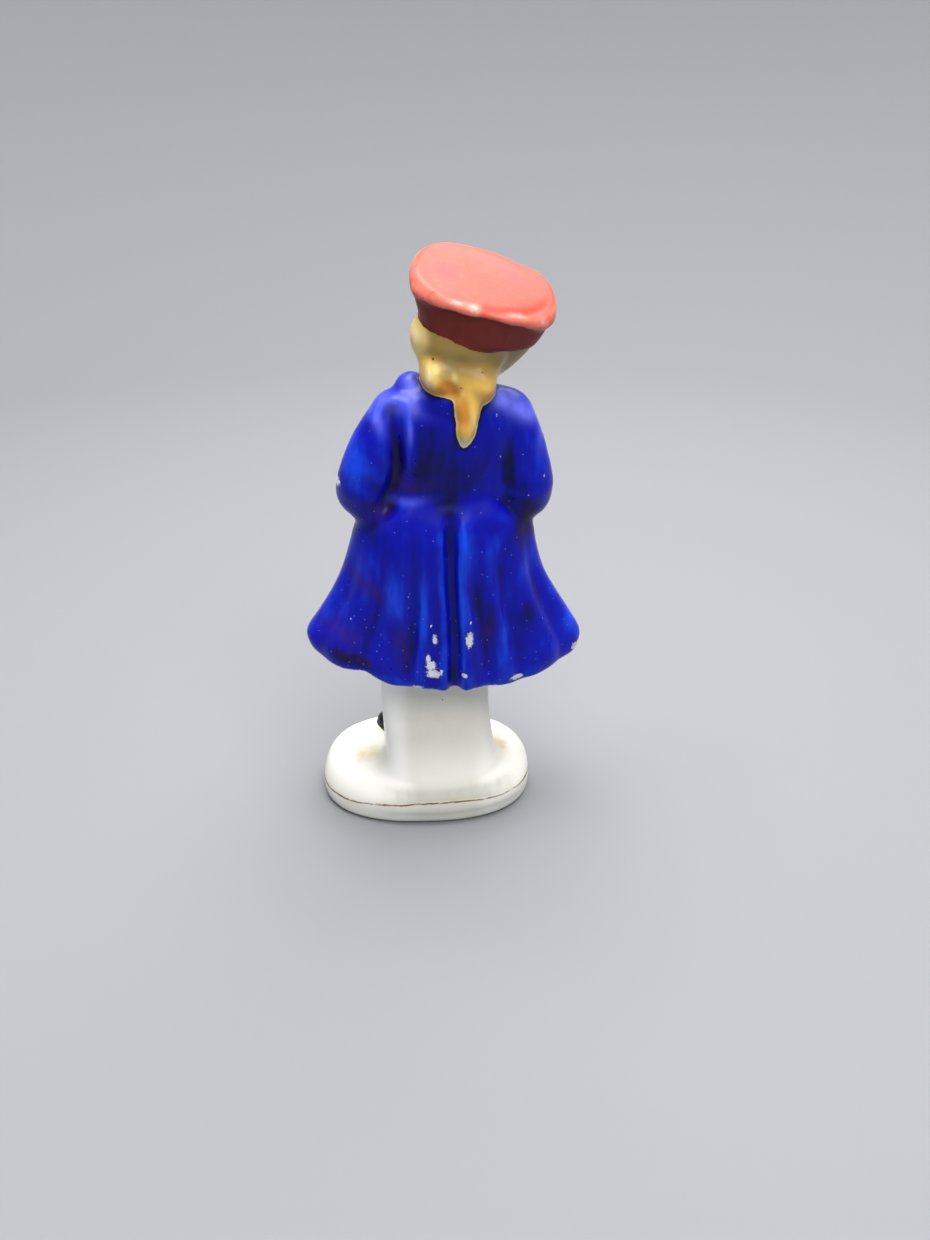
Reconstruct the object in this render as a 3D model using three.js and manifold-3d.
// A small glazed porcelain figurine of a boy in colonial dress, cast in one piece with its plinth.
// Millimetres, +Z up. The figure faces -Y and its left hand is on the +X side.
// The origin is on the flat underside, close to its middle.
import * as THREE from "three";
import { mergeVertices } from "three/addons/utils/BufferGeometryUtils.js";
import Module from "manifold-3d";

const wasm = await Module();
wasm.setup();

// Driving dimensions
const PLINTH = { width: 35.4, depth: 24.6, height: 7.6, line: 3.2, squareness: 2.4, y: -0.8, turn: -6 };
const ANKLE = 9;
const KNEE = 30;
const WAIST = 54;
const CHEST = 62;
const SHOULDER = 66;
const NECK = 69;
const HEM_FRONT = 30.2;
const LEAN = -3.4; // the skirt's middle stands this far to the figure's right
const SKIRT = { waistWidth: 26.4, hemWidth: 43.6, hemDepth: 20.6, foldDepth: 0.75 };
const HEAD = { pivot: [-4.6, 1, 68.5], tilt: 13.5, height: 15.5, width: 12.2 };
const HAT = { centre: [-9.1, 1.25, 84], roll: 13.5, pitch: 21, width: 19.6, depth: 16.4, band: 5.2 };
const GLAZE = { color: 0x1d2fae, roughness: 0.16, metalness: 0 };

const deg = THREE.MathUtils.degToRad;
const { smoothstep, lerp, clamp } = THREE.MathUtils;

// Solids from three.js geometry, and back
function solid(geometry) {
  const bare = geometry.clone();
  bare.deleteAttribute("normal");
  bare.deleteAttribute("uv");
  const merged = mergeVertices(bare, 1e-4);
  const made = new wasm.Manifold(
    new wasm.Mesh({
      numProp: 3,
      vertProperties: Float32Array.from(merged.attributes.position.array),
      triVerts: Uint32Array.from(merged.index.array),
    }),
  );
  if (made.volume() < 0) throw new Error("a form is inside out");
  return made;
}

function geometryOf(manifold) {
  const { vertProperties, triVerts } = manifold.getMesh();
  const geometry = new THREE.BufferGeometry();
  geometry.setAttribute("position", new THREE.BufferAttribute(vertProperties, 3));
  geometry.setIndex(new THREE.BufferAttribute(triVerts, 1));
  geometry.computeVertexNormals();
  return geometry;
}

// A closed form through rings of points, the lowest ring first and each ring counter-clockwise seen from above.
function loft(rings) {
  const around = rings[0].length;
  const middle = (ring) =>
    ring.reduce((sum, point) => sum.add(point), new THREE.Vector3()).divideScalar(around);
  const points = [...rings.flat(), middle(rings[0]), middle(rings.at(-1))];
  const bottom = points.length - 2;
  const top = points.length - 1;
  const last = (rings.length - 1) * around;
  const faces = [];
  for (let i = 0; i < around; i++) {
    const next = (i + 1) % around;
    faces.push(bottom, next, i, top, last + i, last + next);
    for (let base = 0; base < last; base += around) {
      faces.push(base + i, base + next, base + around + next);
      faces.push(base + i, base + around + next, base + around + i);
    }
  }
  return new THREE.BufferGeometry().setFromPoints(points).setIndex(faces);
}

// Angles round a ring, closer together at the back and front, where the folds are.
function anglesRound(count) {
  const crowding = 0.22;
  return Array.from({ length: count }, (_, i) => {
    const even = (2 * Math.PI * i) / count;
    return even + crowding * Math.sin(2 * even);
  });
}

// The angle from the back towards the figure's left, in degrees.
const fromBack = (angle) => THREE.MathUtils.radToDeg(Math.atan2(Math.cos(angle), Math.sin(angle)));

// A squared ellipse: half width w along X, half depth d along Y, squareness n, and an outward offset by angle.
function ring({ x = 0, y = 0, z = 0, w, d, n = 2 }, count, offset = () => 0, level = () => z) {
  const squared = (v) => Math.sign(v) * Math.abs(v) ** (2 / n);
  return anglesRound(count).map((angle) => {
    const out = offset(angle);
    return new THREE.Vector3(
      x + (w + out) * squared(Math.cos(angle)),
      y + (d + out) * squared(Math.sin(angle)),
      level(angle),
    );
  });
}

// Stations of a form blended by smooth curves into evenly spread ones.
function blend(stations, count) {
  const spline = (pick) => new THREE.CatmullRomCurve3(stations.map(pick), false, "catmullrom", 0.5);
  const places = spline((s) => new THREE.Vector3(s.x ?? 0, s.y ?? 0, s.z));
  const sizes = spline((s) => new THREE.Vector3(s.w, s.d, s.n ?? 2));
  return Array.from({ length: count }, (_, i) => {
    const place = places.getPoint(i / (count - 1));
    const size = sizes.getPoint(i / (count - 1));
    return { x: place.x, y: place.y, z: place.z, w: size.x, d: size.y, n: size.z };
  });
}

// A round limb along a smooth curve, with rounded ends. Each station is [x, y, z, radius].
function limb(stations, steps = 10, sides = 12) {
  const curve = new THREE.CatmullRomCurve3(stations.map(([x, y, z]) => new THREE.Vector3(x, y, z)));
  const radii = new THREE.CatmullRomCurve3(stations.map((s) => new THREE.Vector3(s[3], 0, 0)));
  const { tangents, normals, binormals } = curve.computeFrenetFrames(steps);
  const circle = (i, scale, shift) => {
    const centre = curve.getPointAt(i / steps).addScaledVector(tangents[i], shift);
    const radius = radii.getPoint(curve.getUtoTmapping(i / steps)).x * scale;
    return Array.from({ length: sides }, (_, k) => {
      const angle = (2 * Math.PI * k) / sides;
      return centre
        .clone()
        .addScaledVector(normals[i], radius * Math.cos(angle))
        .addScaledVector(binormals[i], radius * Math.sin(angle));
    });
  };
  const body = Array.from({ length: steps + 1 }, (_, i) => circle(i, 1, 0));
  const dome = (i, sign, radius) =>
    [30, 60].map((a) => circle(i, Math.cos(deg(a)), sign * radius * Math.sin(deg(a))));
  const start = dome(0, -1, stations[0][3]).reverse();
  const end = dome(steps, 1, stations.at(-1)[3]);
  return loft([...start, ...body, ...end]);
}

// An ellipsoid, turned about Z by an angle in degrees.
function blob([x, y, z], [rx, ry, rz], turn = 0, detail = 11) {
  return new THREE.SphereGeometry(1, detail, Math.round(detail * 0.7))
    .rotateX(Math.PI / 2)
    .scale(rx, ry, rz)
    .rotateZ(deg(turn))
    .translate(x, y, z);
}

// A value that runs smoothly through [angle, value] pairs, the angles rising.
function through(pairs, at) {
  const next = pairs.findIndex(([angle]) => angle >= at);
  if (next <= 0) return pairs[0][1];
  const [a, low] = pairs[next - 1];
  const [b, high] = pairs[next];
  return lerp(low, high, smoothstep(at, a, b));
}

const dip = (at, middle, width) => Math.exp(-(((at - middle) / width) ** 2));

function plinth() {
  const { width, depth, height, line, squareness, y, turn } = PLINTH;
  const topRound = 3.2;
  const quarter = [0, 24, 48, 70, 90];
  const profile = [
    [0, 0.5],
    [0.5, 0.1],
    ...quarter.map((a) => [line + (height - line) * Math.sin(deg(a)), topRound * (1 - Math.cos(deg(a)))]),
  ];
  return loft(
    profile.map(([z, inset]) =>
      ring({ z, w: width / 2 - inset, d: depth / 2 - inset, n: squareness }, 42),
    ),
  )
    .rotateZ(deg(turn))
    .translate(0, y, 0);
}

// The plain block behind the legs, which flares into the plinth.
function support() {
  const top = KNEE + 4;
  const stations = [
    { x: -2.4, y: 2.4, z: PLINTH.height - 2.6, w: 11.2, d: 7.6, n: 2.6 },
    { x: -2.1, y: 2.2, z: PLINTH.height + 0.6, w: 9.4, d: 5.9, n: 2.6 },
    { x: -1.8, y: 1.8, z: ANKLE + 2.5, w: 8.9, d: 4.8, n: 2.6 },
    { x: -1.4, y: 1.5, z: 17, w: 8.85, d: 4.5, n: 2.6 },
    { x: -1.5, y: 1.5, z: top, w: 8.8, d: 4.5, n: 2.6 },
  ];
  return loft(blend(stations, 9).map((station) => ring(station, 26)));
}

// One leg in breeches and stocking, with its shoe pointing to the toe.
function leg({ hip, knee, ankle, toe }) {
  const calf = 22;
  const limbStations = [
    [hip, -1.6, WAIST - 9, 5],
    [lerp(hip, knee, 0.6), -2.6, KNEE + 6, 4.4],
    [knee, -3, KNEE, 3.6],
    [lerp(knee, ankle, 0.5), -2.7, calf, 3.5],
    [ankle, -2.6, ANKLE + 3, 2.3],
    [ankle, -2.8, ANKLE - 2, 2.3],
  ];
  const [toeX, toeY] = toe;
  const turn = THREE.MathUtils.radToDeg(Math.atan2(toeY + 2.8, toeX - ankle));
  const sole = PLINTH.height + 0.9;
  return [
    limb(limbStations, 9, 10),
    blob([lerp(ankle, toeX, 0.5), lerp(-2.8, toeY, 0.5), sole], [4.6, 2.2, 1.9], turn),
    blob([ankle, -2.9, sole + 0.8], [2.6, 2.3, 2.2], turn),
  ];
}

// The hem's height by the angle from the back: it sweeps up to the figure's left side.
const HEM = [
  [-180, HEM_FRONT],
  [-90, 27.6],
  [-58, 26.9],
  [-24, 25.2],
  [-2, 25.2],
  [18, 25.9],
  [42, 28.6],
  [90, 30.2],
  [180, HEM_FRONT],
];
const hemAt = (angle) => through(HEM, fromBack(angle));

// Grooves between the skirt's folds: [angle from the back, half width in degrees, share of the fold depth].
const GROOVES = [
  [-57, 9, 0.8],
  [-29, 6, 1],
  [-13, 4.5, 1],
  [0.3, 2.3, 1.2],
  [18.5, 5.5, 1],
  [39, 7, 0.8],
  [68, 10, 0.6],
  [105, 12, 0.8],
  [-95, 12, 0.8],
];

// How far the coat stands open in front: half an angle that grows from the waist to the hem.
const openingAt = (down) => lerp(11, 31, down);

function skirtOffset(down) {
  const folds = SKIRT.foldDepth * smoothstep(down, 0, 0.6);
  const recess = lerp(0.6, 3, down);
  return (angle) => {
    const at = fromBack(angle);
    const grooves = GROOVES.reduce((sum, [middle, width, share]) => sum + share * dip(at, middle, width), 0);
    const fromFront = 180 - Math.abs(at);
    const open = 1 - smoothstep(fromFront, openingAt(down) - 5, openingAt(down) + 5);
    return -folds * grooves - recess * open;
  };
}

function skirt() {
  const { waistWidth, hemWidth, hemDepth } = SKIRT;
  const stations = [
    { x: LEAN, y: 0.9, z: 0, w: hemWidth / 2 - 0.9, d: hemDepth / 2 - 0.9, n: 2.2 },
    { x: LEAN, y: 0.9, z: 0.07, w: hemWidth / 2 - 0.05, d: hemDepth / 2, n: 2.2 },
    { x: LEAN, y: 0.8, z: 0.16, w: hemWidth / 2 + 0.1, d: hemDepth / 2, n: 2.2 },
    { x: LEAN - 0.1, y: 0.8, z: 0.34, w: hemWidth / 2 - 2.8, d: 9.6, n: 2.2 },
    { x: LEAN + 0.2, y: 0.9, z: 0.6, w: waistWidth / 2 + 2.2, d: 8.8, n: 2.25 },
    { x: LEAN + 0.2, y: 0.9, z: 0.79, w: waistWidth / 2 + 0.9, d: 8.1, n: 2.3 },
    { x: LEAN, y: 0.8, z: 0.92, w: waistWidth / 2 + 0.2, d: 7.2, n: 2.3 },
    { x: LEAN - 0.2, y: 0.5, z: 1.02, w: waistWidth / 2 - 1.6, d: 5.7, n: 2.3 },
  ];
  const count = 64;
  const outside = blend(stations, 14).map((station) =>
    ring(station, count, skirtOffset(clamp(1 - station.z, 0, 1)), (angle) =>
      lerp(hemAt(angle), WAIST, station.z),
    ),
  );
  const underside = [
    [0.35, 3.5],
    [0.8, 1.6],
  ].map(([share, rise]) =>
    ring(
      { x: LEAN, y: 0.9, w: (share * hemWidth) / 2, d: (share * hemDepth) / 2 },
      count,
      skirtOffset(1 - share / 2),
      (angle) => hemAt(angle) + rise,
    ),
  );
  return loft([...underside, ...outside]);
}

// The coat's back, chest and shoulders, with its fronts parted over the waistcoat.
function torso() {
  const stations = [
    { x: LEAN, y: 0.4, z: WAIST - 6, w: 9.5, d: 6, n: 2.3 },
    { x: LEAN, y: 0.5, z: WAIST, w: 10.8, d: 5.9, n: 2.4 },
    { x: LEAN - 0.4, y: 0.3, z: (WAIST + CHEST) / 2, w: 10.6, d: 6.3, n: 2.4 },
    { x: LEAN - 0.7, y: 0.2, z: CHEST, w: 10.6, d: 6.6, n: 2.4 },
    { x: LEAN - 0.9, y: 0.3, z: SHOULDER, w: 10.6, d: 6.2, n: 2.3 },
    { x: LEAN - 1, y: 0.3, z: NECK - 0.6, w: 9.4, d: 5.2, n: 2.2 },
    { x: LEAN - 1.2, y: 0.3, z: NECK + 0.8, w: 7, d: 4.2, n: 2.1 },
    { x: LEAN - 1.4, y: 0.3, z: NECK + 1.8, w: 4.6, d: 3.2, n: 2 },
  ];
  const parting = (z) => (angle) => {
    const fromFront = 180 - Math.abs(fromBack(angle));
    const halfOpen = lerp(12, 26, smoothstep(z, WAIST, SHOULDER));
    return -0.8 * (1 - smoothstep(fromFront, halfOpen - 3, halfOpen + 3));
  };
  return loft(blend(stations, 12).map((station) => ring(station, 40, parting(station.z))));
}

// The turned edges of the coat's fronts, from the lapels at the neck to the hem.
function coatFronts() {
  const edge = (side) =>
    limb(
      [
        [LEAN - 1.2 + side * 2.6, -4.6, NECK, 0.9],
        [LEAN - 0.8 + side * 4.4, -6.1, CHEST + 1, 1.2],
        [LEAN + side * 2.6, -6, WAIST, 0.9],
        [LEAN + side * 5.4, -7.4, WAIST - 9, 1],
        [LEAN + side * 11, -8.1, HEM_FRONT + 1, 1.1],
      ],
      9,
      8,
    );
  return [edge(1), edge(-1)];
}

// A sleeve bent at the elbow, its turned-back cuff, and the hand.
function arm(stations, [handX, handY, handZ]) {
  const wrist = stations.at(-1);
  const before = stations.at(-2);
  const along = (t) => [0, 1, 2].map((i) => lerp(wrist[i], before[i], t));
  const cuffRadius = wrist[3] + 0.7;
  return [
    limb(stations, 9, 11),
    limb([[...along(0.45), cuffRadius - 0.4], [...along(0.05), cuffRadius]], 2),
    blob([handX, handY, handZ], [1.9, 1.5, 1.7]),
  ];
}

function arms() {
  const shoulderY = 0.6;
  const left = arm(
    [
      [3.2, shoulderY, SHOULDER, 4],
      [6.2, shoulderY + 0.6, 61.2, 4.3],
      [8.1, 0.4, 55.4, 4.4],
      [5.8, -5, 57, 3.3],
      [2.2, -7.8, 61.2, 2.6],
    ],
    [0.2, -8.6, 63.4],
  );
  const right = arm(
    [
      [-12.2, shoulderY, SHOULDER - 0.6, 4],
      [-14.4, shoulderY + 0.6, 60.6, 4.2],
      [-15.2, 0.6, 54.1, 4.4],
      [-12.6, -4.8, 53.6, 3.3],
      [-9.2, -7.4, 53.6, 2.6],
    ],
    [-7, -8, 53.6],
  );
  const armpits = [
    blob([6.4, 0.4, 52.3], [3.4, 4.4, 3.2]),
    blob([-13.2, 0.4, 51.9], [3.2, 4.4, 3.2]),
  ];
  return [...left, ...right, ...armpits];
}

// The collar stands round the neck and bunches up over the figure's left shoulder.
function collar() {
  const roll = new THREE.TorusGeometry(4.8, 1.4, 7, 20).rotateX(deg(-6)).translate(LEAN - 1.2, 0, NECK + 0.2);
  return [roll, blob([1, -0.4, NECK + 0.7], [2.4, 2.6, 2.5]), blob([3.2, 0.4, NECK - 1], [2.6, 3, 1.7])];
}

function jabot() {
  const tiers = [
    [NECK - 0.6, 1.9],
    [NECK - 2.6, 2.2],
    [NECK - 4.6, 1.7],
  ];
  return tiers.map(([z, half]) => blob([LEAN - 1, -5.4, z], [half, 1.5, 1.4]));
}

// The head's own frame: its origin is the neck, and it tips to the figure's right.
const headFrame = new THREE.Matrix4()
  .makeTranslation(...HEAD.pivot)
  .multiply(new THREE.Matrix4().makeRotationY(-deg(HEAD.tilt)));

function head() {
  const middle = HEAD.height / 2 + 0.7;
  const skull = new THREE.SphereGeometry(1, 22, 20);
  const place = skull.attributes.position;
  const nose = { x: 0, z: -0.1, wide: 0.16, tall: 0.17, push: 1 };
  const mouth = { x: 0, z: -0.42, wide: 0.28, tall: 0.1, push: 0.4 };
  const chin = { x: 0, z: -0.78, wide: 0.3, tall: 0.16, push: 0.6 };
  const paired = (feature) => [feature, { ...feature, x: -feature.x }];
  const features = [
    nose,
    mouth,
    chin,
    ...paired({ x: 0.34, z: 0.1, wide: 0.2, tall: 0.13, push: -0.5 }),
    ...paired({ x: 0.45, z: -0.3, wide: 0.26, tall: 0.22, push: 0.4 }),
  ];
  for (let i = 0; i < place.count; i++) {
    const [x, y, z] = [place.getX(i), place.getY(i), place.getZ(i)];
    const push = features.reduce((sum, f) => sum + f.push * dip(x, f.x, f.wide) * dip(z, f.z, f.tall), 0);
    const jaw = lerp(0.8, 1, smoothstep(z, -1, 0.1));
    const forward = push * smoothstep(-y, 0, 0.4);
    place.setXYZ(i, (x * jaw * HEAD.width) / 2, y * 6.2 - forward, (z * HEAD.height) / 2);
  }
  const neck = limb([[0, 0.4, -2, 2.9], [0.2, 0.2, 4, 2.8]], 3);
  return [skull.translate(0.3, -0.9, middle), neck];
}

// Hair combed back in a full dome, gathered into two soft lobes at the nape.
function hair() {
  return [
    blob([0.75, 0.2, 8.4], [7, 5.5, 5.7], 0, 20),
    blob([0.1, 1, 3.8], [5.2, 5, 3.5], 0, 16),
    blob([0.6, 2.4, 5.4], [5, 3.3, 2.6]),
    blob([2.9, 1.9, 3.2], [2.4, 3.7, 2.3]),
    blob([-2.3, 1.9, 3], [2.9, 4.1, 2.7]),
  ];
}

// The tied hair that lies on the coat's back and ends in a point.
function queue() {
  const stations = [
    { x: -6.2, y: 5, z: 71, w: 2.2, d: 2 },
    { x: -6.2, y: 5.8, z: 69.2, w: 1.9, d: 1.6 },
    { x: -6.1, y: 6.4, z: 67, w: 1.5, d: 1.3 },
    { x: -5.9, y: 6.9, z: 65.2, w: 1, d: 0.9 },
    { x: -5.5, y: 7, z: 63.7, w: 0.3, d: 0.5 },
  ];
  return loft(
    blend(stations, 9)
      .reverse()
      .map((station) => ring(station, 12)),
  );
}

// The hat: a turned-up band under a wide brim with a rolled edge, and a low dished top.
function hat() {
  const { width, depth, band } = HAT;
  const w = width / 2;
  const d = depth / 2;
  const profile = [
    { x: 0.2, y: 0.2, z: -band - 0.5, w: w - 3.4, d: d - 1.6 },
    { x: 0.2, y: 0.3, z: -band, w: w - 2.3, d: d - 0.6 },
    { x: 0.2, y: 0.1, z: -band / 2, w: w - 1.1, d: d - 0.3 },
    { z: -0.5, w: w - 0.1, d: d - 0.05 },
    { z: 0.1, w, d },
    { z: 0.6, w: w - 0.3, d: d - 0.3 },
    { z: 0.8, w: w - 0.9, d: d - 0.9 },
    { z: 0.6, w: w - 1.7, d: d - 1.7 },
    { z: 0.9, w: w - 3.4, d: d - 3 },
    { z: 1.6, w: w - 6, d: d - 5 },
    { z: 1.8, w: w - 8.6, d: d - 7 },
  ];
  // Its plan is cocked: square corners behind, softer ones before, and a slight hollow in front.
  const rim = (angle) => {
    const at = Math.abs(fromBack(angle));
    return 0.7 * dip(at, 58, 22) + 0.3 * dip(at, 132, 22) - 0.6 * dip(at, 180, 24);
  };
  const { centre, roll, pitch } = HAT;
  return loft(profile.map((station) => ring({ n: 2.15, ...station }, 34, rim)))
    .rotateX(-deg(pitch))
    .rotateY(-deg(roll))
    .translate(...centre);
}

const upright = [
  plinth(),
  support(),
  ...leg({ hip: 0, knee: 2.4, ankle: 3.4, toe: [6.7, -8] }),
  ...leg({ hip: -6.6, knee: -6.2, ankle: -5.4, toe: [-7.4, -8.2] }),
  skirt(),
  torso(),
  ...coatFronts(),
  ...arms(),
  ...collar(),
  ...jabot(),
  queue(),
  hat(),
];
const tipped = [...head(), ...hair()].map((form) => form.applyMatrix4(headFrame));
const CLEANING = 0.045; // faces flatter than this are merged after the join
const casting = [...upright, ...tipped]
  .map(solid)
  .reduce((whole, form) => whole.add(form))
  .setTolerance(CLEANING);

const figurine = new THREE.Group();
const mesh = new THREE.Mesh(geometryOf(casting), new THREE.MeshStandardMaterial(GLAZE));
mesh.name = "colonial_figurine";
figurine.add(mesh);

export default figurine;
